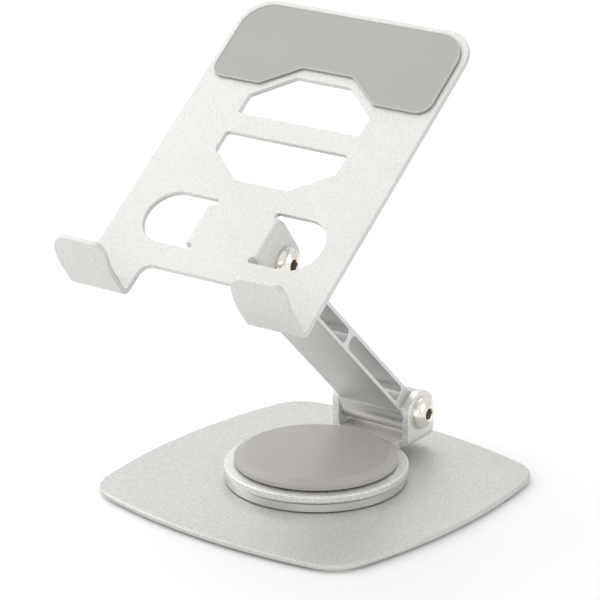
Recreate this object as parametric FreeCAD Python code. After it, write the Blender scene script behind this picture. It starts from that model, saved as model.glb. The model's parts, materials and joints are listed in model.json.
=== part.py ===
"""Folding tablet stand: square base, turntable, extruded arm and hooked tray.

Millimetres, +Z up. The origin is the middle of the stand's underside, on the turntable's axis.
Both hinges lie along X; the user sits on the -Y side, the hinge ears stand on the +Y side.
"""
import FreeCAD, Part
import os
from math import asin, copysign, cos, radians, sin, sqrt

# ---------------------------------------------------------------- driving dimensions
# base
BASE_SIDE = 99.8             # across the middles of two opposite sides
BASE_BULGE = 7.6             # how far a side's middle stands out past its ends
BASE_CORNER = 13.0           # corner rounding
BASE_YAW = -4.2              # the base is turned this much from the hinge axes, degrees
BASE_SHEET = 1.6
FOOT_THICK = 0.7
FOOT_RADIUS = 8.0
FOOT_INSET = 1.2             # from a foot's edge to the rounded corner of the base
CENTRE_PAD_RADIUS = 29.0

# turntable
RING_RADIUS = 25.2
RING_HEIGHT = 2.6
SLIP_RADIUS = 18.8
SLIP_THICK = 0.9
TURN_RADIUS = 25.7
TURN_SHEET = 2.2
CAP_RADIUS = 22.8
CAP_TOP_RADIUS = 20.4
CAP_SIDE = 1.45              # height of the cap's upright side
CAP_SLOPE = 1.2              # height of its sloping shoulder
TAPE_THICK = 0.45
PIVOT_SHOULDER = 3.5         # radius of the pivot screw's plain shoulder
PIVOT_THREAD = 2.5
RUN_GAP = 0.05               # running clearance between faces that turn on each other
RING_SCREWS = 4
RING_SCREW_CIRCLE = 22.0

# hinges (the same hardware at both ends of the arm)
ARM_WIDTH = 20.7
WASHER_THICK = 0.5
WASHER_RADIUS = 6.0
SLEEVE_RADIUS = 3.5
SPRING_RADIUS = 4.6
SPRING_DEPTH = 1.0
SCREW_SHANK = 2.45
SCREW_LENGTH = 8.0
SCREW_HEAD = 4.75            # M5 button head
SCREW_HEAD_HEIGHT = 2.75
SCREW_SOCKET = 3.0           # across flats

# turntable ears
EAR_RADIUS = 6.35
EAR_BEND = 0.6               # inner bend radius
LOWER_Y, LOWER_Z = 32.8, 14.45

# arm
ARM_LENGTH = 88.9            # between the two hinge axes
ARM_ELEVATION = 43.93        # above the horizontal, leaning forward
ARM_THICK = 6.6
ARM_WALL = 1.25
ARM_WEB = 2.0                # web between the two hollow chambers
BARREL_RADIUS = 6.1
CHAMBER_END = 9.5            # first chamber starts this far from the hinge axis

# tray, in its own frame: u across, v up the slope, n out of the front face
TRAY_TILT = 37.2
TRAY_SHEET = 1.5
TRAY_HALF = 37.5
TRAY_TOP = 41.9
TRAY_CORNER = 9.8
TRAY_WAIST = -49.0           # lower edge between the two legs
LEG_INNER = 20.1
LEG_FILLET = 3.2
OCT_HALF, OCT_TOP = 19.7, 17.8
OCT_FLAT, OCT_SIDE = 8.75, 9.6
BAR_HALF = 3.3
LUG_V, LUG_DEPTH = -33.2, 10.7
LUG_HALF = 6.5
LUG_BEND = 0.6               # inner bend radius
D_RADIUS, D_CENTRE = 8.25, 20.2
HOOK_BOTTOM = -59.5
HOOK_BEND = 1.0
HOOK_STRAIGHT = 6.0          # the shelf is straight this far out of the tray, then curls up
HOOK_CURL = 22.0
HOOK_REACH = 17.2
HOOK_CORNER = 3.8
PAD_THICK = 0.8
HOOK_PAD = 0.8

# rounding of deburred edges
EDGE_SHEET = 0.3
EDGE_ARM = 0.25

# derived places
BASE_TOP = FOOT_THICK + BASE_SHEET
RING_TOP = BASE_TOP + RING_HEIGHT
SLIP_FLOOR = RING_TOP + 0.15 - SLIP_THICK
TURN_LOW = RING_TOP + 0.15 + RUN_GAP
TURN_TOP = TURN_LOW + TURN_SHEET
CAP_LOW = TURN_TOP + TAPE_THICK
CAP_TOP = CAP_LOW + CAP_SIDE + CAP_SLOPE
HINGE_HALF = ARM_WIDTH / 2 + RUN_GAP + WASHER_THICK      # inner faces of ears and lugs
EAR_OUTER = HINGE_HALF + TURN_SHEET
LUG_OUTER = HINGE_HALF + TRAY_SHEET
UPPER_Y = LOWER_Y - ARM_LENGTH * cos(radians(ARM_ELEVATION))
UPPER_Z = LOWER_Z + ARM_LENGTH * sin(radians(ARM_ELEVATION))


# ---------------------------------------------------------------- small helpers
def vec(x, y, z=0.0):
    return FreeCAD.Vector(x, y, z)


def cylinder(radius, low, high, x=0.0, y=0.0):
    """Upright cylinder between two heights."""
    return Part.makeCylinder(radius, high - low, vec(x, y, low))


def rod(radius, x_low, x_high, y=0.0, z=0.0):
    """Cylinder along X between two stations."""
    return Part.makeCylinder(radius, x_high - x_low, vec(x_low, y, z), vec(1, 0, 0))


def box(x0, x1, y0, y1, z0, z1):
    return Part.makeBox(x1 - x0, y1 - y0, z1 - z0, vec(x0, y0, z0))


def line(a, b):
    return Part.LineSegment(a, b).toShape()


def arc(a, middle, b):
    return Part.Arc(a, middle, b).toShape()


def prism(edges, sweep):
    """Solid swept from a closed chain of edges."""
    return Part.Face(Part.Wire(Part.__sortEdges__(edges))).extrude(sweep)


def polygon(points):
    return [line(points[i], points[(i + 1) % len(points)]) for i in range(len(points))]


def round_corners(solid, direction, radius, chosen=lambda edge: True):
    """Fillet the straight edges that run along a direction."""
    edges = []
    for edge in solid.Edges:
        ends = edge.Vertexes
        if len(ends) != 2 or edge.Curve.TypeId != "Part::GeomLine":
            continue
        run = ends[1].Point.sub(ends[0].Point)
        if abs(run.normalize().dot(direction)) > 0.999 and chosen(edge):
            edges.append(edge)
    return solid.makeFillet(radius, edges)


def soften_faces(solid, radius, heights):
    """Round the rims of a flat sheet: every edge that lies wholly at one of the given heights."""
    rims = []
    for edge in solid.Edges:
        box_ = edge.BoundBox
        if any(abs(box_.ZMin - z) < 1e-4 and abs(box_.ZMax - z) < 1e-4 for z in heights):
            rims.append(edge)
    return solid.makeFillet(radius, rims)


def convex_edges(solid):
    """Edges where two faces meet in an outward corner."""
    probe, found = 0.05, []
    for edge in solid.Edges:
        faces = solid.ancestorsOfType(edge, Part.Face)
        if len(faces) != 2:
            continue
        point = edge.valueAt((edge.FirstParameter + edge.LastParameter) / 2)
        first, second = [face.normalAt(*face.Surface.parameter(point)) for face in faces]
        if first.getAngle(second) < radians(35):
            continue
        inward = (first + second).normalize() * -probe
        outside = [point + first * probe, point + second * probe]
        if solid.isInside(point + inward, 1e-6, False) and not any(
                solid.isInside(p, 1e-6, False) for p in outside):
            found.append(edge)
    return found


def ease_edges(solid, radius, chosen=lambda edge: True):
    """Take the sharpness off a solid's outward edges."""
    return solid.makeFillet(radius, [edge for edge in convex_edges(solid) if chosen(edge)])


def mirrored(solid):
    return solid.mirror(vec(0, 0, 0), vec(1, 0, 0))


def both_sides(solid):
    """The solid and its mirror image across the YZ plane, as two separate solids."""
    return Part.makeCompound([solid, mirrored(solid)])


def hexagon(across_flats, low, high):
    radius = across_flats / sqrt(3)
    corners = [vec(radius * cos(radians(60 * k)), radius * sin(radians(60 * k)), low) for k in range(6)]
    return prism(polygon(corners), vec(0, 0, high - low))


def turned(points):
    """Solid of revolution about Z from (radius, height) points."""
    outline = polygon([vec(r, 0, z) for r, z in points])
    return Part.Face(Part.Wire(outline)).revolve(vec(0, 0, 0), vec(0, 0, 1), 360)


# ---------------------------------------------------------------- base
def base_outline_radius():
    half = BASE_SIDE / 2
    return (half ** 2 + BASE_BULGE ** 2) / (2 * BASE_BULGE)


def corner_centres():
    """Centres of the four corner roundings, in the base's own axes."""
    far = base_outline_radius() - BASE_CORNER
    offset = base_outline_radius() - BASE_SIDE / 2
    # a corner circle touches the big circles of both neighbouring sides from inside
    reach = (-offset + sqrt(2 * far ** 2 - offset ** 2)) / 2
    return [(sx * reach, sy * reach) for sx in (-1, 1) for sy in (-1, 1)]


def base_body():
    radius = base_outline_radius()
    offset = radius - BASE_SIDE / 2
    body = cylinder(radius, FOOT_THICK, BASE_TOP, -offset, 0)
    for x, y in ((offset, 0), (0, -offset), (0, offset)):
        body = body.common(cylinder(radius, FOOT_THICK, BASE_TOP, x, y))
    body = round_corners(body, vec(0, 0, 1), BASE_CORNER)
    body = soften_faces(body, 0.6, (FOOT_THICK, BASE_TOP))
    return body.removeSplitter()


def ring_screw_places():
    step = 360.0 / RING_SCREWS
    return [(RING_SCREW_CIRCLE * cos(radians(45 + k * step)),
             RING_SCREW_CIRCLE * sin(radians(45 + k * step))) for k in range(RING_SCREWS)]


def base_plate():
    plate = base_body().cut(cylinder(PIVOT_THREAD + RUN_GAP, 0, BASE_TOP + 1))
    for x, y in ring_screw_places():
        plate = plate.cut(cylinder(1.35, 0, BASE_TOP + 1, x, y))
        plate = plate.cut(Part.makeCone(2.6, 1.35, 1.25, vec(x, y, FOOT_THICK)))
    return spin(plate)


def spin(shape):
    """Turn a base piece about the turntable's axis, away from the hinge axes."""
    shape.rotate(vec(0, 0, 0), vec(0, 0, 1), BASE_YAW)
    return shape


def corner_feet():
    feet = []
    shift = (BASE_CORNER - FOOT_INSET - FOOT_RADIUS) / sqrt(2)
    for x, y in corner_centres():
        x, y = x + copysign(shift, x), y + copysign(shift, y)
        foot = cylinder(FOOT_RADIUS, 0, FOOT_THICK, x, y)
        feet.append(soften_faces(foot, 0.25, (0.0,)))
    return spin(Part.makeCompound(feet))


def centre_pad():
    return soften_faces(cylinder(CENTRE_PAD_RADIUS, 0, FOOT_THICK), 0.25, (0.0,))


# ---------------------------------------------------------------- turntable bearing
def bearing_ring():
    """Fixed lower disc: a recess for the slip washer above, a shadow step at its foot."""
    step, rise = 1.1, 0.35
    ring = turned([(0, BASE_TOP), (RING_RADIUS - step, BASE_TOP), (RING_RADIUS - step, BASE_TOP + rise),
                   (RING_RADIUS, BASE_TOP + rise), (RING_RADIUS, RING_TOP - 0.2),
                   (RING_RADIUS - 0.2, RING_TOP), (0, RING_TOP)])
    ring = ring.cut(cylinder(SLIP_RADIUS + 0.15, SLIP_FLOOR, RING_TOP + 1))
    ring = ring.cut(cylinder(PIVOT_THREAD + RUN_GAP, 0, RING_TOP))
    for x, y in ring_screw_places():
        ring = ring.cut(cylinder(1.15, 0, RING_TOP - 0.6, x, y))
    return ring


def ring_screws():
    """Countersunk M2.5 screws that hold the lower disc to the base from below."""
    screws = []
    for x, y in ring_screw_places():
        head = Part.makeCone(2.5, 1.1, 1.2, vec(x, y, FOOT_THICK + 0.02))
        shank = cylinder(1.1, FOOT_THICK + 1.0, RING_TOP - 0.7, x, y)
        slot = hexagon(1.5, FOOT_THICK, FOOT_THICK + 0.8)
        slot.translate(vec(x, y, 0))
        screws.append(head.fuse(shank).cut(slot).removeSplitter())
    return spin(Part.makeCompound(screws))


def slip_washer():
    disc = cylinder(SLIP_RADIUS, SLIP_FLOOR, SLIP_FLOOR + SLIP_THICK)
    return disc.cut(cylinder(PIVOT_SHOULDER + 0.1, 0, RING_TOP + 2))


def pivot_screw():
    """Shoulder screw that the turntable turns on, driven from above into the lower disc."""
    head_low, head_high = TURN_TOP + RUN_GAP + 0.4, TURN_TOP + RUN_GAP + 1.8
    body = turned([(0, FOOT_THICK + 0.1), (PIVOT_THREAD, FOOT_THICK + 0.1), (PIVOT_THREAD, SLIP_FLOOR),
                   (PIVOT_SHOULDER, SLIP_FLOOR), (PIVOT_SHOULDER, head_low), (6.0, head_low),
                   (6.0, head_high - 0.3), (5.7, head_high), (0, head_high)])
    return body.cut(hexagon(4.0, head_high - 1.1, head_high + 1))


def wave_washer():
    low = TURN_TOP + RUN_GAP
    return cylinder(5.6, low, low + 0.4).cut(cylinder(PIVOT_SHOULDER + 0.1, low - 1, low + 1))


# ---------------------------------------------------------------- turntable
def ear():
    """Right-hand ear, bent up from the tongue behind the disc."""
    y0, y1 = LOWER_Y - EAR_RADIUS, LOWER_Y + EAR_RADIUS
    bend, outer = EAR_BEND, EAR_BEND + TURN_SHEET
    bend_x, bend_z = HINGE_HALF - bend, TURN_TOP + bend
    slant = sin(radians(45))
    face = [line(vec(HINGE_HALF, y0, bend_z), vec(HINGE_HALF, y0, LOWER_Z)),
            arc(vec(HINGE_HALF, y0, LOWER_Z), vec(HINGE_HALF, LOWER_Y, LOWER_Z + EAR_RADIUS),
                vec(HINGE_HALF, y1, LOWER_Z)),
            line(vec(HINGE_HALF, y1, LOWER_Z), vec(HINGE_HALF, y1, bend_z)),
            line(vec(HINGE_HALF, y1, bend_z), vec(HINGE_HALF, y0, bend_z))]
    plate = prism(face, vec(TURN_SHEET, 0, 0))
    root = [arc(vec(HINGE_HALF, y0, bend_z),
                vec(bend_x + bend * slant, y0, bend_z - bend * slant), vec(bend_x, y0, TURN_TOP)),
            line(vec(bend_x, y0, TURN_TOP), vec(bend_x, y0, TURN_LOW)),
            arc(vec(bend_x, y0, TURN_LOW),
                vec(bend_x + outer * slant, y0, bend_z - outer * slant), vec(EAR_OUTER, y0, bend_z)),
            line(vec(EAR_OUTER, y0, bend_z), vec(HINGE_HALF, y0, bend_z))]
    plate = plate.fuse(prism(root, vec(0, y1 - y0, 0)))
    return plate.cut(rod(SCREW_SHANK + 0.15, 0, EAR_OUTER + 5, LOWER_Y, LOWER_Z)).removeSplitter()


def turntable_plate():
    tongue = HINGE_HALF - EAR_BEND
    back = LOWER_Y + EAR_RADIUS
    disc = cylinder(TURN_RADIUS, TURN_LOW, TURN_TOP)
    flat = disc.fuse(box(-tongue, tongue, 0, back, TURN_LOW, TURN_TOP)).removeSplitter()
    rim = [edge for edge in flat.Edges if edge.Curve.TypeId == "Part::GeomCircle"
           and edge.BoundBox.ZLength < 1e-4]
    flat = flat.makeFillet(0.5, rim)
    side = ear()
    plate = flat.fuse(side).fuse(mirrored(side)).removeSplitter()
    plate = ease_edges(plate, EDGE_SHEET, lambda edge: edge.BoundBox.YMin > LOWER_Y
                       or edge.BoundBox.ZMax > TURN_TOP + EAR_BEND + 0.05)
    return plate.cut(cylinder(PIVOT_SHOULDER + RUN_GAP, 0, 20))


def tape_ring():
    """Adhesive ring that holds the cap down; it sits back from the rim as a shadow gap."""
    return cylinder(CAP_RADIUS - 1.0, TURN_TOP, CAP_LOW).cut(cylinder(15.0, TURN_TOP - 1, CAP_LOW + 1))


def cap_disc():
    disc = turned([(0, CAP_LOW), (CAP_RADIUS, CAP_LOW), (CAP_RADIUS, CAP_LOW + CAP_SIDE),
                   (CAP_TOP_RADIUS, CAP_TOP), (0, CAP_TOP)])
    rims = [edge for edge in disc.Edges if edge.Curve.TypeId == "Part::GeomCircle"]
    disc = disc.makeFillet(0.35, rims)
    return disc.cut(cylinder(8.0, 0, CAP_TOP - 0.85))


# ---------------------------------------------------------------- hinge hardware
def button_screw():
    """M5 button head screw along +X, its head resting on the plane x = 0."""
    high, foot = SCREW_HEAD_HEIGHT, 0.35
    top = 2.0
    bulge = ((SCREW_HEAD + top) / 2 + 0.55, (high + foot) / 2 + 0.35)
    outline = [line(vec(0, 0, -SCREW_LENGTH), vec(SCREW_SHANK, 0, -SCREW_LENGTH)),
               line(vec(SCREW_SHANK, 0, -SCREW_LENGTH), vec(SCREW_SHANK, 0, 0)),
               line(vec(SCREW_SHANK, 0, 0), vec(SCREW_HEAD, 0, 0)),
               line(vec(SCREW_HEAD, 0, 0), vec(SCREW_HEAD, 0, foot)),
               arc(vec(SCREW_HEAD, 0, foot), vec(bulge[0], 0, bulge[1]), vec(top, 0, high)),
               line(vec(top, 0, high), vec(0, 0, high)),
               line(vec(0, 0, high), vec(0, 0, -SCREW_LENGTH))]
    body = Part.Face(Part.Wire(outline)).revolve(vec(0, 0, 0), vec(0, 0, 1), 360)
    body = body.cut(hexagon(SCREW_SOCKET, high - 1.7, high + 1))
    body.rotate(vec(0, 0, 0), vec(0, 1, 0), 90)
    return body


def hinge_screws(outer, y, z):
    screw = button_screw()
    screw.translate(vec(outer, y, z))
    return both_sides(screw)


def hinge_sleeve(y, z):
    """Threaded steel sleeve, clamped between the two ears or lugs by the screws."""
    body = rod(SLEEVE_RADIUS, -HINGE_HALF, HINGE_HALF, y, z)
    return body.cut(rod(SCREW_SHANK + RUN_GAP, -HINGE_HALF - 1, HINGE_HALF + 1, y, z))


def friction_washers(y, z):
    inner = HINGE_HALF - WASHER_THICK
    washer = rod(WASHER_RADIUS, inner, HINGE_HALF, y, z)
    washer = washer.cut(rod(SLEEVE_RADIUS + 0.1, inner - 1, HINGE_HALF + 1, y, z))
    return both_sides(washer)


def spring_washers(y, z):
    """Disc springs in the counterbores of the arm; they press on the friction washers."""
    outer = ARM_WIDTH / 2
    seat = outer - SPRING_DEPTH + RUN_GAP / 2
    cone = Part.makeCone(SPRING_RADIUS - 0.1, SPRING_RADIUS - 0.75, outer - seat, vec(seat, y, z), vec(1, 0, 0))
    cone = cone.cut(rod(SLEEVE_RADIUS + 0.05, 0, outer + 1, y, z))
    return both_sides(cone)


# ---------------------------------------------------------------- arm
def chamber(start, end):
    half = ARM_THICK / 2 - ARM_WALL
    solid = box(-ARM_WIDTH, ARM_WIDTH, start, end, -half, half)
    return round_corners(solid, vec(1, 0, 0), 1.7)


def arm():
    """Extruded profile, cut to width: two barrels, a flat beam and two hollow chambers."""
    half_width, half_thick = ARM_WIDTH / 2, ARM_THICK / 2
    body = rod(BARREL_RADIUS, -half_width, half_width)
    body = body.fuse(rod(BARREL_RADIUS, -half_width, half_width, ARM_LENGTH, 0))
    body = body.fuse(box(-half_width, half_width, 0, ARM_LENGTH, -half_thick, half_thick)).removeSplitter()
    throat = sqrt(BARREL_RADIUS ** 2 - half_thick ** 2)
    body = round_corners(body, vec(1, 0, 0), 2.5,
                         lambda edge: min(abs(edge.Vertexes[0].Y - throat),
                                          abs(edge.Vertexes[0].Y - ARM_LENGTH + throat)) < 0.01)
    middle = ARM_LENGTH / 2
    body = body.cut(chamber(CHAMBER_END, middle - ARM_WEB / 2))
    body = body.cut(chamber(middle + ARM_WEB / 2, ARM_LENGTH - CHAMBER_END))
    for y in (0, ARM_LENGTH):
        body = body.cut(rod(SLEEVE_RADIUS + RUN_GAP, -half_width - 1, half_width + 1, y, 0))
        sink = rod(SPRING_RADIUS, half_width - SPRING_DEPTH, half_width + 1, y, 0)
        body = body.cut(sink).cut(mirrored(sink))
    body = ease_edges(body, EDGE_ARM)
    body.rotate(vec(0, 0, 0), vec(1, 0, 0), 180 - ARM_ELEVATION)
    body.translate(vec(0, LOWER_Y, LOWER_Z))
    return body


# ---------------------------------------------------------------- tray
def to_world(solid):
    """Carry a piece from the tray's frame (u, v, n) onto the upper hinge."""
    solid.translate(vec(0, -LUG_V, LUG_DEPTH))
    solid.rotate(vec(0, 0, 0), vec(1, 0, 0), TRAY_TILT)
    solid.translate(vec(0, UPPER_Y, UPPER_Z))
    return solid


def half_octagon(side):
    """One of the two cut-outs, above (+1) or below (-1) the cross bar."""
    depth = -TRAY_SHEET - 1
    points = [(-OCT_HALF, BAR_HALF), (OCT_HALF, BAR_HALF), (OCT_HALF, OCT_SIDE),
              (OCT_FLAT, OCT_TOP), (-OCT_FLAT, OCT_TOP), (-OCT_HALF, OCT_SIDE)]
    solid = prism(polygon([vec(u, side * v, depth) for u, v in points]), vec(0, 0, TRAY_SHEET + 2))
    return round_corners(solid, vec(0, 0, 1), 0.8)


def lug_window():
    """D-shaped hole beside the right lug, with a relief notch at each end of the bend."""
    low, high = -TRAY_SHEET - 1, 1
    bend_line = LUG_OUTER - LUG_BEND - TRAY_SHEET
    window = box(bend_line, D_CENTRE, LUG_V - D_RADIUS, LUG_V + D_RADIUS, low, high)
    window = window.fuse(cylinder(D_RADIUS, low, high, D_CENTRE, LUG_V))
    notch = (D_RADIUS - LUG_HALF) / 2
    for side in (-1, 1):
        v = LUG_V + side * (D_RADIUS - notch)
        window = window.fuse(cylinder(notch, low, high, bend_line, v))
    return window


def tray_blank():
    """The tray's flat sheet, with its waist and its cut-outs."""
    leg_end = HOOK_BOTTOM + HOOK_BEND + TRAY_SHEET
    sheet = box(-TRAY_HALF, TRAY_HALF, leg_end, TRAY_TOP, -TRAY_SHEET, 0)
    sheet = round_corners(sheet, vec(0, 0, 1), TRAY_CORNER, lambda edge: edge.Vertexes[0].Y > 0)
    waist = box(-LEG_INNER, LEG_INNER, leg_end - 1, TRAY_WAIST, -TRAY_SHEET - 1, 1)
    waist = round_corners(waist, vec(0, 0, 1), LEG_FILLET, lambda edge: edge.Vertexes[0].Y > leg_end)
    sheet = sheet.cut(waist)
    for side in (-1, 1):
        sheet = sheet.cut(half_octagon(side))
    window = lug_window()
    return sheet.cut(window).cut(mirrored(window)), leg_end


def lug():
    """Right-hand hinge lug, bent straight back from the sheet."""
    outer = LUG_BEND + TRAY_SHEET
    u0, n0 = LUG_OUTER - outer, -outer
    tip = -LUG_DEPTH - LUG_HALF
    slant = sin(radians(45))
    low = LUG_V - LUG_HALF

    def at(u, n):
        return vec(u, low, n)

    profile = [line(at(u0, 0), at(u0, -TRAY_SHEET)),
               arc(at(u0, -TRAY_SHEET), at(u0 + LUG_BEND * slant, n0 + LUG_BEND * slant), at(HINGE_HALF, n0)),
               line(at(HINGE_HALF, n0), at(HINGE_HALF, tip)),
               line(at(HINGE_HALF, tip), at(LUG_OUTER, tip)),
               line(at(LUG_OUTER, tip), at(LUG_OUTER, n0)),
               arc(at(LUG_OUTER, n0), at(u0 + outer * slant, n0 + outer * slant), at(u0, 0))]
    solid = prism(profile, vec(0, 2 * LUG_HALF, 0))
    rounded = box(0, LUG_OUTER + 1, LUG_V - LUG_HALF, LUG_V + LUG_HALF, -LUG_DEPTH, 1)
    rounded = rounded.fuse(rod(LUG_HALF, 0, LUG_OUTER + 1, LUG_V, -LUG_DEPTH))
    return solid.common(rounded).cut(rod(SCREW_SHANK + 0.15, 0, LUG_OUTER + 5, LUG_V, -LUG_DEPTH))


def shelf_profile(u, inside, outside, n_start, n_end):
    """Closed outline of the curled shelf between two depths below its upper, inner face."""
    centre = HOOK_BOTTOM + HOOK_CURL
    reach = asin((n_end - HOOK_STRAIGHT) / HOOK_CURL)

    def on(depth, angle):
        radius = HOOK_CURL - TRAY_SHEET + depth
        return vec(u, centre - radius * cos(angle), HOOK_STRAIGHT + radius * sin(angle))

    def flat(depth):
        return vec(u, HOOK_BOTTOM + TRAY_SHEET - depth, n_start)

    return [line(flat(inside), on(inside, 0)), arc(on(inside, 0), on(inside, reach / 2), on(inside, reach)),
            line(on(inside, reach), on(outside, reach)),
            arc(on(outside, reach), on(outside, reach / 2), on(outside, 0)),
            line(on(outside, 0), flat(outside)), line(flat(outside), flat(inside))]


def rounded_tip(u0, u1, n_end, corner):
    """Upright block whose two outer corners trim a shelf's free end."""
    block = box(u0, u1, HOOK_BOTTOM - 5, HOOK_BOTTOM + 20, -5, n_end)
    return round_corners(block, vec(0, 1, 0), corner, lambda edge: edge.Vertexes[0].Z > 0)


def hook(leg_end):
    """Right-hand hook: the leg turns forward into a shelf that curls up at its tip."""
    u = LEG_INNER
    slant = sin(radians(45))
    outer = HOOK_BEND + TRAY_SHEET
    bend = [line(vec(u, leg_end, 0), vec(u, leg_end, -TRAY_SHEET)),
            arc(vec(u, leg_end, -TRAY_SHEET), vec(u, leg_end - outer * slant, HOOK_BEND - outer * slant),
                vec(u, HOOK_BOTTOM, HOOK_BEND)),
            line(vec(u, HOOK_BOTTOM, HOOK_BEND), vec(u, HOOK_BOTTOM + TRAY_SHEET, HOOK_BEND)),
            arc(vec(u, HOOK_BOTTOM + TRAY_SHEET, HOOK_BEND),
                vec(u, leg_end - HOOK_BEND * slant, HOOK_BEND - HOOK_BEND * slant), vec(u, leg_end, 0))]
    sweep = vec(TRAY_HALF - LEG_INNER, 0, 0)
    shelf = prism(shelf_profile(u, 0.0, TRAY_SHEET, HOOK_BEND, HOOK_REACH), sweep)
    shelf = shelf.common(rounded_tip(LEG_INNER, TRAY_HALF, HOOK_REACH - 0.4, HOOK_CORNER))
    return prism(bend, sweep).fuse(shelf)


def tray_plate():
    sheet, leg_end = tray_blank()
    pieces = [lug(), hook(leg_end)]
    for piece in pieces + [mirrored(piece) for piece in pieces]:
        sheet = sheet.fuse(piece)
    return to_world(ease_edges(sheet.removeSplitter(), EDGE_SHEET))


def tray_pad():
    """Silicone pad across the top of the tray, cut away round the octagonal hole."""
    half, top, low, brow = 35.6, 40.1, 13.4, 20.9
    points = [(-half, top), (-half, low), (-18.8, low), (-8.2, brow),
              (8.2, brow), (18.8, low), (half, low), (half, top)]
    pad = prism(polygon([vec(u, v, 0) for u, v in points]), vec(0, 0, PAD_THICK))
    pad = round_corners(pad, vec(0, 0, 1), 8.6, lambda edge: edge.Vertexes[0].Y > 30)
    pad = round_corners(pad, vec(0, 0, 1), 4.2,
                        lambda edge: abs(edge.Vertexes[0].X) > 30 and edge.Vertexes[0].Y < 15)
    pad = round_corners(pad, vec(0, 0, 1), 2.0, lambda edge: abs(edge.Vertexes[0].X) < 20)
    return to_world(soften_faces(pad, 0.2, (PAD_THICK,)))


def hook_pad():
    """Thin silicone strip on the right-hand hook's inner face."""
    margin, start, end = 1.0, 2.2, 14.6
    strip = prism(shelf_profile(LEG_INNER + margin, -HOOK_PAD, 0.0, start, end),
                  vec(TRAY_HALF - LEG_INNER - 2 * margin, 0, 0))
    return strip.common(rounded_tip(LEG_INNER + margin, TRAY_HALF - margin, end - 0.4, 3.5))


# ---------------------------------------------------------------- the whole stand
NODES = {
    "base_plate": base_plate(),
    "corner_feet": corner_feet(),
    "centre_pad": centre_pad(),
    "bearing_ring": spin(bearing_ring()),
    "ring_screws": ring_screws(),
    "slip_washer": slip_washer(),
    "pivot_screw": pivot_screw(),
    "wave_washer": wave_washer(),
    "turntable_plate": turntable_plate(),
    "cap_tape_ring": tape_ring(),
    "cap_disc": cap_disc(),
    "lower_hinge_sleeve": hinge_sleeve(LOWER_Y, LOWER_Z),
    "lower_hinge_screws": hinge_screws(EAR_OUTER, LOWER_Y, LOWER_Z),
    "lower_friction_washers": friction_washers(LOWER_Y, LOWER_Z),
    "lower_spring_washers": spring_washers(LOWER_Y, LOWER_Z),
    "arm": arm(),
    "upper_spring_washers": spring_washers(UPPER_Y, UPPER_Z),
    "upper_friction_washers": friction_washers(UPPER_Y, UPPER_Z),
    "upper_hinge_sleeve": hinge_sleeve(UPPER_Y, UPPER_Z),
    "upper_hinge_screws": hinge_screws(LUG_OUTER, UPPER_Y, UPPER_Z),
    "tray_plate": tray_plate(),
    "tray_pad": tray_pad(),
    "right_hook_pad": to_world(hook_pad()),
    "left_hook_pad": to_world(mirrored(hook_pad())),
}

os.makedirs("parts", exist_ok=True)
for name, shape in NODES.items():
    solids = shape.Solids
    if not shape.isValid() or not solids:
        raise SystemExit("bad shape: " + name)
    if len(solids) == 1:
        shape = solids[0]
    shape.exportStep("parts/" + name + ".step")
    size = shape.BoundBox
    print(f"{name:24s} {len(solids)} solid(s) {shape.Volume / 1000:8.3f} cm3 "
          f"{size.XLength:6.1f} x {size.YLength:6.1f} x {size.ZLength:6.1f}")
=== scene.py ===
"""Looks of the folding tablet stand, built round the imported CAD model.

+Z up, in the same frame as the CAD: objects are in metres, and the numbers here are in millimetres.
All materials are procedural.
"""
import json
import math

import bpy
import bmesh
from mathutils import Matrix, Vector


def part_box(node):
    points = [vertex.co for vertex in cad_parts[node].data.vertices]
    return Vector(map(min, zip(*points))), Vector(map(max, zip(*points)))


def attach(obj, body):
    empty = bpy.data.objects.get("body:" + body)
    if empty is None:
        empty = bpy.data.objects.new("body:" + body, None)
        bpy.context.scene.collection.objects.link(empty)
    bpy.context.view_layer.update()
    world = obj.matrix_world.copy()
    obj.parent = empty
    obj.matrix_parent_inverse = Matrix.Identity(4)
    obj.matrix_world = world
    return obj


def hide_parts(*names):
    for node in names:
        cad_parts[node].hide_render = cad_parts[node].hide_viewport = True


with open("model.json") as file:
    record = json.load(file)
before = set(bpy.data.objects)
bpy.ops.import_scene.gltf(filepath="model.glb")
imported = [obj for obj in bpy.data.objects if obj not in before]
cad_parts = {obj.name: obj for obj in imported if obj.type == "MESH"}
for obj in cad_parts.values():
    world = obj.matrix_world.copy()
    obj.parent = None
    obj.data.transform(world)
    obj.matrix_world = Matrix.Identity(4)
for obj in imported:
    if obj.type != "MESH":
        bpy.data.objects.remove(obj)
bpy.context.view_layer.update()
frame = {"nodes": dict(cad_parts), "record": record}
nodes = frame["nodes"]
scene = bpy.context.scene
MM = 0.001                              # lengths below are in millimetres unless a comment says metres


# ------------------------------------------------------------------ places taken from the CAD
def middle(node):
    """Middle of a node's box, in millimetres."""
    low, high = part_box(node)
    return (Vector(low) + Vector(high)) / 2 / MM


UPPER = middle("upper_hinge_sleeve")
LOWER = middle("lower_hinge_sleeve")
TRAY_TILT = 37.2                        # degrees
LUG_V, LUG_DEPTH = -33.2, 10.7          # hinge axis in the tray's own frame
TRAY = (Matrix.Translation((0, UPPER.y, UPPER.z)) @ Matrix.Rotation(math.radians(TRAY_TILT), 4, "X")
        @ Matrix.Translation((0, -LUG_V, LUG_DEPTH)))


# ------------------------------------------------------------------ camera and light
def aim(obj, place, target):
    """Puts obj at place, looking at target with its top upward (millimetres)."""
    place, target = Vector(place) * MM, Vector(target) * MM
    obj.location = place
    obj.rotation_euler = (target - place).to_track_quat("-Z", "Y").to_euler()


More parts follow.
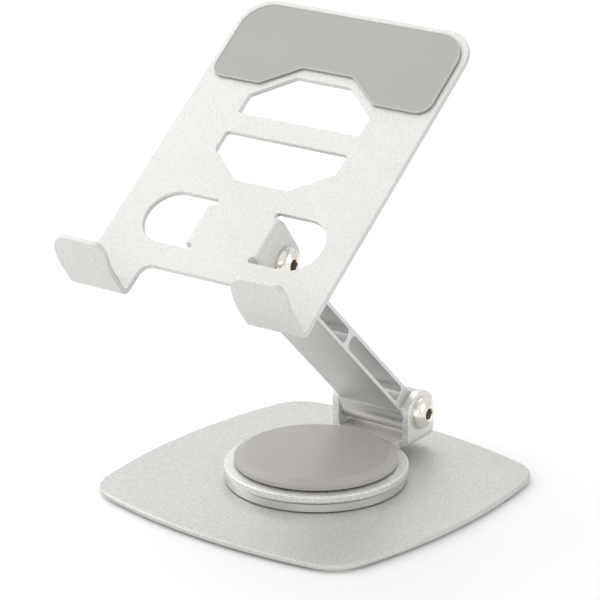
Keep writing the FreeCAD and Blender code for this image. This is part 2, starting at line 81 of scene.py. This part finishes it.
camera = bpy.data.objects.new("camera", bpy.data.cameras.new("camera"))
scene.collection.objects.link(camera)
camera.data.sensor_width = 36.0
camera.data.lens = 194.4
camera.data.clip_start = 0.01
camera.data.clip_end = 20.0
aim(camera, place=(483.6, -680.6, 346.4), target=(-3.22, -3.19, 55.0))
scene.camera = camera


def softbox(name, place, target, size, power, colour=(1.0, 1.0, 1.0)):
    """A rectangular area light that the camera doesn't see; power is in watts."""
    light = bpy.data.lights.new(name, "AREA")
    light.shape = "RECTANGLE"
    light.size, light.size_y = size[0] * MM, size[1] * MM
    light.energy = power
    light.color = colour
    obj = bpy.data.objects.new(name, light)
    scene.collection.objects.link(obj)
    aim(obj, place, target)
    obj.visible_camera = False


# a large soft light high on the left behind the stand, and weaker ones round it
softbox("key_overhead", (-430, 220, 740), (0, 0, 40), (900, 800), 2.3, (1.0, 0.995, 0.985))
softbox("fill_left", (-650, -280, 330), (0, 0, 20), (500, 420), 1.5)
softbox("fill_right", (650, 150, 260), (0, 0, 40), (420, 420), 0.35)
softbox("fill_front", (420, -660, 190), (0, 0, 15), (800, 260), 1.0)


def studio_world():
    """Pale surroundings, a little darker toward the horizon than overhead."""
    world = bpy.data.worlds.new("studio")
    scene.world = world
    world.use_nodes = True
    tree = world.node_tree
    place = tree.nodes.new("ShaderNodeTexCoord")
    split = tree.nodes.new("ShaderNodeSeparateXYZ")
    ramp = tree.nodes.new("ShaderNodeValToRGB")
    tree.links.new(place.outputs["Generated"], split.inputs["Vector"])
    tree.links.new(split.outputs["Z"], ramp.inputs["Fac"])
    tree.links.new(ramp.outputs["Color"], tree.nodes["Background"].inputs["Color"])
    for element, height, grey in zip(ramp.color_ramp.elements, (0.02, 0.45), (0.88, 1.0)):
        element.position = height
        element.color = (grey, grey, grey, 1.0)
    tree.nodes["Background"].inputs["Strength"].default_value = 0.85


studio_world()
scene.view_settings.view_transform = "Standard"
scene.view_settings.look = "None"


# ------------------------------------------------------------------ node helpers
class Shader:
    """A material with a Principled shader and short-hands for its nodes."""

    def __init__(self, name, **constants):
        self.material = bpy.data.materials.new(name)
        self.material.use_nodes = True
        self.tree = self.material.node_tree
        self.shader = self.tree.nodes["Principled BSDF"]
        for key, value in constants.items():
            self.shader.inputs[key.replace("_", " ")].default_value = value
        self.place = self.add("ShaderNodeTexCoord").outputs["Object"]

    def add(self, kind, **settings):
        node = self.tree.nodes.new(kind)
        for key, value in settings.items():
            setattr(node, key, value)
        return node

    def link(self, source, target):
        self.tree.links.new(source, target)

    def noise(self, scale, detail, roughness, vector=None):
        node = self.add("ShaderNodeTexNoise")
        self.link(vector or self.place, node.inputs["Vector"])
        node.inputs["Scale"].default_value = scale
        node.inputs["Detail"].default_value = detail
        node.inputs["Roughness"].default_value = roughness
        return node.outputs["Fac"]

    def stretched(self, scale):
        """Object coordinates scaled differently along each axis."""
        node = self.add("ShaderNodeMapping", vector_type="POINT")
        node.inputs["Scale"].default_value = scale
        self.link(self.place, node.inputs["Vector"])
        return node.outputs["Vector"]

    def ramp(self, source, *stops):
        """Colour ramp through (position, grey or colour) stops."""
        node = self.add("ShaderNodeValToRGB")
        node.color_ramp.elements[0].position = stops[0][0]
        node.color_ramp.elements[1].position = stops[-1][0]
        for position, _ in stops[1:-1]:
            node.color_ramp.elements.new(position)
        for element, (_, value) in zip(node.color_ramp.elements, stops):
            colour = value if isinstance(value, tuple) else (value, value, value)
            element.color = (*colour, 1.0)
        self.link(source, node.inputs["Fac"])
        return node.outputs["Color"]

    def remap(self, source, to_low, to_high):
        """The middle of a noise's range, stretched over to_low to to_high."""
        node = self.add("ShaderNodeMapRange")
        for key, value in (("From Min", 0.3), ("From Max", 0.7), ("To Min", to_low), ("To Max", to_high)):
            node.inputs[key].default_value = value
        self.link(source, node.inputs["Value"])
        return node.outputs["Result"]

    def turned(self, degrees):
        """Object coordinates turned about X."""
        node = self.add("ShaderNodeMapping", vector_type="POINT")
        node.inputs["Rotation"].default_value = (math.radians(degrees), 0.0, 0.0)
        self.link(self.place, node.inputs["Vector"])
        return node.outputs["Vector"]

    def inside(self, *ranges, vector=None):
        """1 inside a box given in millimetres, 0 outside."""
        split = self.add("ShaderNodeSeparateXYZ")
        self.link(vector or self.place, split.inputs["Vector"])
        mask = None
        for axis, (low, high) in zip("XYZ", ranges):
            node = self.add("ShaderNodeMath", operation="COMPARE")
            self.link(split.outputs[axis], node.inputs[0])
            node.inputs[1].default_value = (low + high) / 2 * MM
            node.inputs[2].default_value = (high - low) / 2 * MM
            within = node.outputs["Value"]
            if mask is not None:
                both = self.add("ShaderNodeMath", operation="MULTIPLY")
                self.link(mask, both.inputs[0])
                self.link(within, both.inputs[1])
                within = both.outputs["Value"]
            mask = within
        return mask

    def mix(self, factor, first, second, blend="MIX"):
        """Mix of two colours; each argument is a socket or a constant."""
        node = self.add("ShaderNodeMix", data_type="RGBA", blend_type=blend)
        # the node has sockets for every data type: 0, 6 and 7, and output 2, are the colour ones
        for index, value in ((0, factor), (6, first), (7, second)):
            socket = node.inputs[index]
            if isinstance(value, bpy.types.NodeSocket):
                self.link(value, socket)
            else:
                socket.default_value = (*value, 1.0) if isinstance(value, tuple) else value
        return node.outputs[2]

    def set(self, key, source):
        self.link(source, self.shader.inputs[key])

    def bump(self, *layers):
        """Each layer is (height, strength, distance in mm)."""
        last = None
        for height, strength, distance in layers:
            node = self.add("ShaderNodeBump")
            node.inputs["Strength"].default_value = strength
            node.inputs["Distance"].default_value = distance * MM
            self.link(height, node.inputs["Height"])
            if last is not None:
                self.link(last, node.inputs["Normal"])
            last = node.outputs["Normal"]
        self.set("Normal", last)


# ------------------------------------------------------------------ materials
EVERYWHERE = (-100.0, 100.0)            # a range wider than the object
TONGUE_TOP = ((-10.4, 10.4), (24.5, 40.0), (7.0, 7.6))
RING_GAP = (2.25, 2.64)                 # heights of the ring's foot painted black, a painted shade in its gap
# pale colour painted on the tongue's top, a painted light
TONGUE_PAINTED_LIGHT = (0.95, 0.92, 0.89)
GAP_PAINTED_SHADE = (0.02, 0.02, 0.02)
# pale colour painted inside the arm's chambers, a painted light
CHAMBER_PAINTED_LIGHT = (0.86, 0.86, 0.85)


def blasted_aluminium(name, light, dark, roughness, grain, metallic, paint_tongue_light=False):
    """Bead-blasted, clear anodised sheet: a fine sparkle of lighter and darker specks."""
    s = Shader(name, Metallic=metallic)
    fine = s.noise(grain, 3.0, 0.65)
    coarse = s.noise(grain * 0.35, 2.0, 0.5)
    cloud = s.noise(28.0, 3.0, 0.55)
    between = tuple((a + b) / 2 for a, b in zip(light, dark))
    speck = s.ramp(fine, (0.36, dark), (0.50, between), (0.64, light))
    tint = s.ramp(cloud, (0.3, 0.955), (0.7, 1.0))
    colour = s.mix(1.0, speck, tint, "MULTIPLY")
    if paint_tongue_light:
        # painted light: the tongue's upper face behind the disc is painted plain and pale, lighter than
        # the shade under the arm leaves it
        colour = s.mix(s.inside(*TONGUE_TOP), colour, TONGUE_PAINTED_LIGHT)
    s.set("Base Color", colour)
    s.set("Roughness", s.remap(coarse, roughness - 0.06, roughness + 0.06))
    s.bump((fine, 0.22, 0.02), (coarse, 0.15, 0.03))
    return s.material


def silicone(name, colour, roughness):
    """Matt rubber or plastic with a fine moulded grain."""
    s = Shader(name, Metallic=0.0)
    fine = s.noise(2600.0, 2.0, 0.6)
    cloud = s.noise(60.0, 3.0, 0.5)
    tone = s.ramp(cloud, (0.3, tuple(c * 0.965 for c in colour)), (0.7, colour))
    speck = s.ramp(fine, (0.35, 0.95), (0.65, 1.0))
    s.set("Base Color", s.mix(1.0, tone, speck, "MULTIPLY"))
    s.set("Roughness", s.remap(fine, roughness - 0.05, roughness + 0.05))
    s.bump((fine, 0.25, 0.02))
    return s.material


def satin_metal(name, colour, roughness, stretch, metallic=1.0, depth=0.010, gap=None, hollow=None):
    """Drawn or turned metal: fine streaks along one direction.

    Between two gap heights it is painted black, a painted shade, and inside the hollow (ranges, tilt in
    degrees) it is painted brighter, a painted light.
    """
    s = Shader(name, Metallic=metallic)
    lines = s.noise(1.0, 4.0, 0.6, s.stretched(stretch))
    cloud = s.noise(45.0, 2.0, 0.5)
    tone = s.ramp(lines, (0.3, tuple(c * 0.96 for c in colour)), (0.7, colour))
    tone = s.mix(1.0, tone, s.ramp(cloud, (0.3, 0.97), (0.7, 1.0)), "MULTIPLY")
    # painted shade: the gap at the ring's foot is painted black
    if gap:
        tone = s.mix(s.inside(EVERYWHERE, EVERYWHERE, gap), tone, GAP_PAINTED_SHADE)
    # painted light: the walls inside the hollow are painted paler than the shade there leaves them
    if hollow:
        ranges, tilt = hollow
        tone = s.mix(s.inside(*ranges, vector=s.turned(tilt)), tone, CHAMBER_PAINTED_LIGHT)
    s.set("Base Color", tone)
    s.set("Roughness", s.remap(lines, roughness - 0.03, roughness + 0.03))
    s.bump((lines, 0.2, depth))
    return s.material


def polished(name, colour, roughness):
    """Bright metal with faint smears."""
    s = Shader(name, Metallic=1.0)
    smear = s.noise(160.0, 3.0, 0.5)
    fine = s.noise(3000.0, 2.0, 0.5)
    s.set("Base Color", s.ramp(smear, (0.3, tuple(c * 0.94 for c in colour)), (0.7, colour)))
    s.set("Roughness", s.remap(smear, roughness, roughness + 0.07))
    s.bump((fine, 0.12, 0.006))
    return s.material


def arm_chambers():
    """The space of the arm's two chambers, where light is painted, in coordinates turned to lie along the
    arm.
    """
    along = UPPER - LOWER
    tilt = math.atan2(along.z, -along.y)
    end = LOWER.y * math.cos(tilt) - LOWER.z * math.sin(tilt)
    axis = LOWER.y * math.sin(tilt) + LOWER.z * math.cos(tilt)
    half_width, chamber_end, half_height = 10.2, 9.3, 2.08
    return ((-half_width, half_width), (end - along.length + chamber_end, end - chamber_end),
            (axis - half_height, axis + half_height)), math.degrees(tilt)


MATERIALS = {
    "base_silver": blasted_aluminium("base_silver", (0.74, 0.74, 0.715), (0.49, 0.49, 0.47),
                                     0.52, 3700.0, 0.7),
    "blasted_silver": blasted_aluminium("blasted_silver", (0.77, 0.77, 0.74), (0.57, 0.57, 0.545),
                                        0.55, 4200.0, 0.7),
    "arm_extrusion": satin_metal("arm_extrusion", (0.67, 0.67, 0.66), 0.35, (30.0, 1400.0, 1400.0),
                                 0.85, 0.001, hollow=arm_chambers()),
    "ring_metal": satin_metal("ring_metal", (0.69, 0.69, 0.675), 0.34, (260.0, 260.0, 5000.0),
                              gap=RING_GAP),
    "cap_grey": silicone("cap_grey", (0.415, 0.398, 0.378), 0.34),
    "screw_nickel": polished("screw_nickel", (0.92, 0.875, 0.80), 0.15),
    "washer_metal": polished("washer_metal", (0.74, 0.74, 0.73), 0.25),
    "steel": polished("steel", (0.66, 0.66, 0.66), 0.28),
    "pad_silicone": silicone("pad_silicone", (0.39, 0.405, 0.38), 0.55),
    "foot_silicone": silicone("foot_silicone", (0.83, 0.82, 0.74), 0.55),
    "nylon": silicone("nylon", (0.80, 0.79, 0.74), 0.5),
    # black tape under the cap; its near-black is also a painted shade in the gap under the cap's edge
    "tape_black": silicone("tape_black", (0.025, 0.025, 0.025), 0.7),
}
# dark brown painted into the screws' sockets, a painted shade
SOCKET_PAINTED_SHADE = silicone("socket_painted_shade", (0.26, 0.18, 0.135), 0.5)
# adhesive under the tray pad; its dark brown is also a painted shade line under the pad's edge
ADHESIVE_AND_SHADE = silicone("adhesive_and_shade", (0.20, 0.15, 0.12), 0.6)
# paler colour painted on the pad's lip, a painted highlight
PAD_LIP_HIGHLIGHT = silicone("pad_lip_highlight", (0.51, 0.51, 0.485), 0.5)
# the turntable's sheet is blasted more coarsely and sparkles; its tongue's top is painted lighter, a
# painted light
COARSE = blasted_aluminium("coarse_silver", (0.94, 0.935, 0.91), (0.57, 0.57, 0.55), 0.52, 3500.0, 0.75,
                           paint_tongue_light=True)

for part in frame["record"]["subparts"]:
    obj = nodes[part["node"]]
    obj.data.materials.clear()
    obj.data.materials.append(MATERIALS[part["material_slot"]])
nodes["turntable_plate"].data.materials[0] = COARSE


# ------------------------------------------------------------------ mesh helpers
NEAR_AXIS = 0.02                        # radius of a ring that closes a turned shape


def piece(name, vertices, faces, material, body, slot, replaced=(), place=Matrix(), crease=32.0):
    """A closed mesh, carried by place into the row frame, riding on a body."""
    mesh = bpy.data.meshes.new(name)
    mesh.from_pydata([place @ Vector(v) * MM for v in vertices], [], faces)
    work = bmesh.new()
    work.from_mesh(mesh)
    bmesh.ops.recalc_face_normals(work, faces=work.faces)
    work.to_mesh(mesh)
    work.free()
    for face in mesh.polygons:
        face.use_smooth = True
    mesh.set_sharp_from_angle(angle=math.radians(crease))
    mesh.materials.append(material)
    obj = bpy.data.objects.new(name, mesh)
    scene.collection.objects.link(obj)
    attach(obj, body)
    if replaced:
        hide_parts(*replaced)
    return obj


def join_rings(rings):
    """Vertices and faces of a skin over rings of equal length, closed by a face at each end."""
    count = len(rings[0])
    vertices = [point for ring in rings for point in ring]
    faces = []
    for k in range(len(rings) - 1):
        for i in range(count):
            n = (i + 1) % count
            faces.append((k * count + i, k * count + n, (k + 1) * count + n, (k + 1) * count + i))
    faces.append(tuple(range(count))[::-1])
    faces.append(tuple(range((len(rings) - 1) * count, len(rings) * count)))
    return vertices, faces


def circle(radius, height, segments=96):
    """Ring about Z; radius and height may be functions of the angle."""
    ring = []
    for k in range(segments):
        angle = math.tau * k / segments
        r = radius(angle) if callable(radius) else radius
        z = height(r) if callable(height) else height
        ring.append((r * math.cos(angle), r * math.sin(angle), z))
    return ring


def rounded_loop(corners):
    """Function inset -> closed loop of (x, y) round a polygon with rounded corners.

    corners holds (x, y, radius), anticlockwise.
    """
    steps = 10                          # along each corner
    parts = []
    count = len(corners)
    for k in range(count):
        here = Vector(corners[k][:2])
        before = Vector(corners[k - 1][:2]) - here
        after = Vector(corners[(k + 1) % count][:2]) - here
        radius = corners[k][2]
        convex = 1 if -before.x * after.y + before.y * after.x > 0 else -1
        before.normalize()
        after.normalize()
        half = math.acos(max(-1.0, min(1.0, before.dot(after)))) / 2
        centre = here + (before + after).normalized() * radius / math.sin(half)
        start = here + before * radius / math.tan(half) - centre
        end = here + after * radius / math.tan(half) - centre
        first = math.atan2(start.y, start.x)
        sweep = (math.atan2(end.y, end.x) - first + math.pi) % math.tau - math.pi
        parts.append((centre, radius, convex, first, sweep))

    def loop(inset):
        ring = []
        for centre, radius, convex, first, sweep in parts:
            for k in range(steps + 1):
                angle = first + sweep * k / steps
                reach = radius - convex * inset
                ring.append((centre.x + reach * math.cos(angle), centre.y + reach * math.sin(angle)))
        return ring

    return loop


def stacked(loop, levels):
    """Rings of a slab whose edge follows (inset, height) levels from the bottom up."""
    return join_rings([[(x, y, height) for x, y in loop(inset)] for inset, height in levels])


# ------------------------------------------------------------------ tray pad
def tray_pad():
    """Moulded silicone pad with a raised lip, on a thin layer of adhesive."""
    half, top, low, brow = 35.6, 40.1, 13.4, 20.9
    notch_foot, notch_head = 18.8, 8.2  # half widths of the notch in the lower edge
    upper, lower, bend = 8.6, 4.2, 2.0  # corner radii
    loop = rounded_loop([(half, top, upper), (-half, top, upper), (-half, low, lower),
                         (-notch_foot, low, bend), (-notch_head, brow, bend),
                         (notch_head, brow, bend), (notch_foot, low, bend), (half, low, lower)])
    glue, glue_inset = 0.28, 0.06
    # (inset, height) up the side, over the lip and down to the field
    levels = [(0.0, glue), (0.0, 0.60), (0.05, 0.72), (0.14, 0.79), (0.34, 0.80), (0.46, 0.76),
              (0.58, 0.68), (0.80, 0.66), (1.6, 0.67)]
    pad = piece("tray_pad_moulded", *stacked(loop, levels), MATERIALS["pad_silicone"], "tray",
                "pad_silicone", ("tray_pad",), TRAY, 60.0)
    # painted highlight: the lip's bands of faces are painted a little paler than the field
    first, last = 1, 3
    pad.data.materials.append(PAD_LIP_HIGHLIGHT)
    count = len(loop(0.0))
    for face in pad.data.polygons:
        if first <= face.index // count <= last:
            face.material_index = 1
    # the inset adhesive layer is dark brown, partly a painted shade line under the pad's edge
    piece("tray_pad_adhesive", *stacked(loop, [(glue_inset, 0.0), (glue_inset, glue)]), ADHESIVE_AND_SHADE, "tray",
          "tape_black", (), TRAY)


tray_pad()


# ------------------------------------------------------------------ hook pads
def hook_pad(side, name, node):
    """Silicone strip on a hook's inner face, following its curl, with softened edges."""
    inner, outer = 21.1, 36.5           # across the tray
    start, end = 2.2, 14.2              # along the shelf's face
    start_round, end_round = 1.0, 3.4   # corner radii
    straight, curl, shelf = 6.0, 20.5, -58.0
    rows, columns = 30, 12

    def spot(u, s, height):
        """Point at u across and s along the face, at a height above it."""
        angle = max(0.0, (s - straight) / curl)
        if angle == 0.0:
            return (side * u, shelf + height, s)
        return (side * u, shelf + curl - (curl - height) * math.cos(angle),
                straight + (curl - height) * math.sin(angle))

    def sheet(inset, height):
        """Grid of the strip's outline, inset all round, at one height above the face."""
        grid = []
        for i in range(rows + 1):
            t = 0.5 - 0.5 * math.cos(math.pi * i / rows)
            s = start + inset + (end - start - 2 * inset) * t
            trim = 0.0
            for corner, over in ((end_round, s - (end - end_round)),
                                 (start_round, start + start_round - s)):
                radius = corner - inset
                if over > 0:
                    trim = max(trim, radius - math.sqrt(max(0.0, radius ** 2 - over ** 2)))
            u0, u1 = inner + inset + trim, outer - inset - trim
            grid.append([spot(u0 + (u1 - u0) * k / columns, s, height) for k in range(columns + 1)])
        return grid

    # (inset, height) from the underside to the softened top
    levels = [sheet(*level) for level in ((0.0, 0.02), (0.0, 0.55), (0.08, 0.72), (0.25, 0.79))]
    rim = ([(0, k) for k in range(columns)] + [(i, columns) for i in range(rows)]
           + [(rows, k) for k in range(columns, 0, -1)] + [(i, 0) for i in range(rows, 0, -1)])
    vertices, faces = [], []
    index = {}

    def at(level, i, k):
        """Index of a grid point's vertex, which is made when first asked for."""
        key = (level, i, k)
        if key not in index:
            index[key] = len(vertices)
            vertices.append(levels[level][i][k])
        return index[key]

    for level in (0, len(levels) - 1):
        for i in range(rows):
            for k in range(columns):
                faces.append((at(level, i, k), at(level, i, k + 1),
                              at(level, i + 1, k + 1), at(level, i + 1, k)))
    for level in range(len(levels) - 1):
        for (i, k), (m, n) in zip(rim, rim[1:] + rim[:1]):
            faces.append((at(level, i, k), at(level, m, n), at(level + 1, m, n), at(level + 1, i, k)))
    piece(name, vertices, faces, MATERIALS["pad_silicone"], "tray", "pad_silicone", (node,), TRAY,
          crease=50.0)


hook_pad(1, "right_hook_pad_moulded", "right_hook_pad")
hook_pad(-1, "left_hook_pad_moulded", "left_hook_pad")


# ------------------------------------------------------------------ feet
FOOT_THICK, FOOT_RADIUS = 0.7, 8.0
CENTRE_RADIUS = 29.0
BASE_YAW = math.radians(-4.2)


def feet():
    """Four moulded feet with a raised lip, and the grooved pad between them."""
    # (radius, height) from the middle of the underside to the middle of the top
    profile = [(NEAR_AXIS, 0.16), (6.3, 0.16), (6.6, 0.02), (6.8, 0.0), (7.6, 0.0), (7.85, 0.05),
               (7.97, 0.16), (FOOT_RADIUS, 0.3), (FOOT_RADIUS, FOOT_THICK), (NEAR_AXIS, FOOT_THICK)]
    vertices, faces = [], []
    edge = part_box("corner_feet")[1][0] / MM - FOOT_RADIUS
    reach = edge / (math.cos(BASE_YAW) - math.sin(BASE_YAW))
    for sx in (-1, 1):
        for sy in (-1, 1):
            x = reach * (sx * math.cos(BASE_YAW) - sy * math.sin(BASE_YAW))
            y = reach * (sx * math.sin(BASE_YAW) + sy * math.cos(BASE_YAW))
            points, skin = join_rings([circle(r, z) for r, z in profile])
            base = len(vertices)
            vertices += [(px + x, py + y, pz) for px, py, pz in points]
            faces += [tuple(base + k for k in face) for face in skin]
    piece("corner_feet_moulded", vertices, faces, MATERIALS["foot_silicone"], "base", "foot_silicone",
          ("corner_feet",), crease=50.0)

    first_groove, last_groove, pitch, groove_depth = 5, 26, 3, 0.22
    profile = [(NEAR_AXIS, 0.0)]
    for r in range(first_groove, last_groove + 1, pitch):
        profile += [(r, 0.0), (r + 0.15, groove_depth), (r + 0.65, groove_depth), (r + 0.8, 0.0)]
    profile += [(CENTRE_RADIUS - 0.3, 0.0), (CENTRE_RADIUS - 0.08, 0.08), (CENTRE_RADIUS, 0.3),
                (CENTRE_RADIUS, FOOT_THICK), (NEAR_AXIS, FOOT_THICK)]
    rings = [circle(r, z, segments=160) for r, z in profile]
    piece("centre_pad_moulded", *join_rings(rings), MATERIALS["foot_silicone"], "base", "foot_silicone",
          ("centre_pad",), crease=50.0)


feet()


# ------------------------------------------------------------------ button-head screws
HEAD_HEIGHT = 2.75


def button_screws(name, node, outer, y, z, body):
    """A pair of M5 button-head screws, heads outward, with a chamfered hexagon socket."""
    head, shank, length, chamfer = 4.75, 2.45, 8.0, 0.3
    foot = 0.3                          # height at which the dome starts
    socket, depth, drill = 1.5, 1.7, 2.1
    slope = 0.8                         # of the chamfer at the socket's mouth
    land = 0.12                         # flat ring round the socket
    steps = 22                          # up the dome
    rim = socket / math.cos(math.pi / 6) + land

    def hexagon(angle):
        return socket / math.cos((angle + math.pi / 6) % (math.pi / 3) - math.pi / 6)

    profile = [(NEAR_AXIS, -length), (shank - chamfer, -length), (shank, chamfer - length), (shank, 0.0),
               (head - 0.09, 0.0), (head, 0.08)]
    # the dome is half an ellipse, cut flat only at the socket's rim
    top = math.acos((rim + land) / head)
    crown = (HEAD_HEIGHT - foot) / math.sin(top)
    profile += [(head * math.cos(top * k / steps), foot + crown * math.sin(top * k / steps))
                for k in range(steps + 1)]
    rings = [circle(r, h) for r, h in profile]
    rings += [circle(rim, HEAD_HEIGHT)]
    skin = len(rings)
    rings += [circle(hexagon, lambda r: HEAD_HEIGHT - (rim - r) * slope),
              circle(hexagon, HEAD_HEIGHT - depth), circle(NEAR_AXIS, HEAD_HEIGHT - drill)]
    points, faces = join_rings(rings)
    vertices, all_faces = [], []
    for side in (1, -1):
        turn = Matrix.Translation((side * outer, y, z)) @ Matrix.Rotation(side * math.pi / 2, 4, "Y")
        base = len(vertices)
        vertices += [tuple(turn @ Vector(point)) for point in points]
        all_faces += [tuple(base + k for k in face) for face in faces]
    obj = piece(name, vertices, all_faces, MATERIALS["screw_nickel"], body, "screw_nickel", (node,),
                crease=28.0)
    # the socket is painted dark brown, a painted shade in its recess; the face that closes the shank's
    # end comes last but one
    obj.data.materials.append(SOCKET_PAINTED_SHADE)
    count, shank_end = len(rings[0]), len(faces) - 2
    for face in obj.data.polygons:
        own = face.index % len(faces)
        if own // count >= skin and own != shank_end:
            face.material_index = 1


def outer_face(node):
    """Outer face of the lug or ear that a pair of screws clamps."""
    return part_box(node)[1][0] / MM - HEAD_HEIGHT


button_screws("lower_button_screws", "lower_hinge_screws", outer_face("lower_hinge_screws"),
              LOWER.y, LOWER.z, "turntable")
button_screws("upper_button_screws", "upper_hinge_screws", outer_face("upper_hinge_screws"),
              UPPER.y, UPPER.z, "tray")


# ------------------------------------------------------------------ floor
def floor():
    """Pale studio floor under the feet."""
    mesh = bpy.data.meshes.new("floor")
    half, low = 3.0, -0.00003           # metres; just clear of the feet
    corners = [(-half, -half, low), (half, -half, low), (half, half, low), (-half, half, low)]
    mesh.from_pydata(corners, [], [(0, 1, 2, 3)])
    obj = bpy.data.objects.new("floor", mesh)
    scene.collection.objects.link(obj)
    s = Shader("floor_paper", Base_Color=(0.91, 0.91, 0.91, 1.0), Roughness=0.9)
    s.bump((s.noise(900.0, 2.0, 0.5), 0.05, 0.02))
    mesh.materials.append(s.material)


floor()
